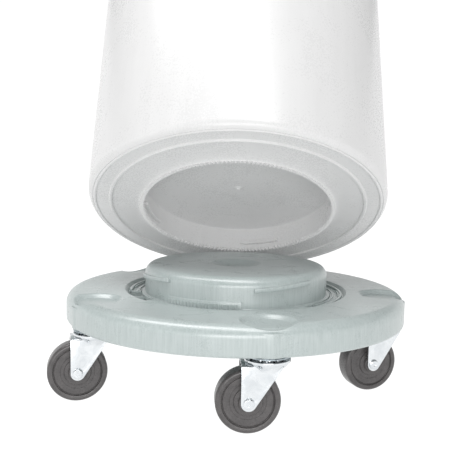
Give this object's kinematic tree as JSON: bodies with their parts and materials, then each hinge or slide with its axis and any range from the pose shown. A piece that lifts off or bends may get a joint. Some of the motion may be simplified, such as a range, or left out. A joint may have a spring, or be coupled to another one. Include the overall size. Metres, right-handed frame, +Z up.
{
  "type": "wash bucket on wheeled dolly",
  "caption": "Round white wash bucket tipped back on a grey twist-on dolly: round deck with a raised lugged hub, scooped pockets and swivel casters underneath.",
  "frame": {"origin": "on the floor, under the middle of the whole object's box; the dolly's axis is 145 mm in front of it (towards -Y), because the bucket stands tipped back", "axes": "+Z up, normal to the deck's top; +Y backwards, the way the bucket is tipped; +X to the right seen from the front"},
  "size_m": [0.5228, 0.7537, 0.8475],
  "materials": {
    "moulded_grey": "moulded polyethylene foam, faint flow streaks",
    "moulded_white": "natural white polyethylene, satin",
    "zinc_steel": "bright zinc plated pressed steel",
    "ball_steel": "polished",
    "bush_steel": "turned, oiled",
    "wheel_tread": "hard grey-black polyolefin, satin"
  },
  "bodies": {
    "dolly": {"deck": "moulded_grey", "race_plates": "zinc_steel", "king_bolts": "zinc_steel", "king_washers": "zinc_steel", "king_nuts": "zinc_steel", "race_balls": "ball_steel"},
    "swivel_1": {"fork_1": "zinc_steel", "axle_1": "zinc_steel", "axle_nut_1": "zinc_steel", "bush_1": "bush_steel"},
    "roller_1": {"wheel_1": "wheel_tread"},
    "swivel_2": {"fork_2": "zinc_steel", "axle_2": "zinc_steel", "axle_nut_2": "zinc_steel", "bush_2": "bush_steel"},
    "roller_2": {"wheel_2": "wheel_tread"},
    "swivel_3": {"fork_3": "zinc_steel", "axle_3": "zinc_steel", "axle_nut_3": "zinc_steel", "bush_3": "bush_steel"},
    "roller_3": {"wheel_3": "wheel_tread"},
    "swivel_4": {"fork_4": "zinc_steel", "axle_4": "zinc_steel", "axle_nut_4": "zinc_steel", "bush_4": "bush_steel"},
    "roller_4": {"wheel_4": "wheel_tread"},
    "swivel_5": {"fork_5": "zinc_steel", "axle_5": "zinc_steel", "axle_nut_5": "zinc_steel", "bush_5": "bush_steel"},
    "roller_5": {"wheel_5": "wheel_tread"},
    "bucket": {"bucket": "moulded_white"}
  },
  "joints": [
    {"name": "caster_1_swivel", "type": "hinge", "parent": "dolly", "child": "swivel_1", "pos_m": [0.03972, -0.34561, 0.08245], "axis": [0, 0, 1], "continuous": true},
    {"name": "wheel_1_spin", "type": "hinge", "parent": "swivel_1", "child": "roller_1", "pos_m": [0.0178, -0.34752, 0.0381], "axis": [-0.0872, 0.9962, 0], "continuous": true},
    {"name": "caster_2_swivel", "type": "hinge", "parent": "dolly", "child": "swivel_2", "pos_m": [0.20306, -0.16921, 0.08245], "axis": [0, 0, 1], "continuous": true},
    {"name": "wheel_2_spin", "type": "hinge", "parent": "swivel_2", "child": "roller_2", "pos_m": [0.18239, -0.17674, 0.0381], "axis": [-0.342, 0.9397, 0], "continuous": true},
    {"name": "caster_3_swivel", "type": "hinge", "parent": "dolly", "child": "swivel_3", "pos_m": [0.08578, 0.04064, 0.08245], "axis": [0, 0, 1], "continuous": true},
    {"name": "wheel_3_spin", "type": "hinge", "parent": "swivel_3", "child": "roller_3", "pos_m": [0.06426, 0.03607, 0.0381], "axis": [-0.2079, 0.9781, 0], "continuous": true},
    {"name": "caster_4_swivel", "type": "hinge", "parent": "dolly", "child": "swivel_4", "pos_m": [-0.15005, -0.00605, 0.08245], "axis": [0, 0, 1], "continuous": true},
    {"name": "wheel_4_spin", "type": "hinge", "parent": "swivel_4", "child": "roller_4", "pos_m": [-0.13449, 0.0095, 0.0381], "axis": [0.7071, -0.7071, 0], "continuous": true},
    {"name": "caster_5_swivel", "type": "hinge", "parent": "dolly", "child": "swivel_5", "pos_m": [-0.17851, -0.24477, 0.08245], "axis": [0, 0, 1], "continuous": true},
    {"name": "wheel_5_spin", "type": "hinge", "parent": "swivel_5", "child": "roller_5", "pos_m": [-0.19976, -0.25046, 0.0381], "axis": [-0.2588, 0.9659, 0], "continuous": true},
    {"name": "bucket_tip", "type": "hinge", "parent": "dolly", "child": "bucket", "pos_m": [0, 0.052, 0.1433], "axis": [1, 0, 0], "range_deg": [0, 32]}
  ]
}
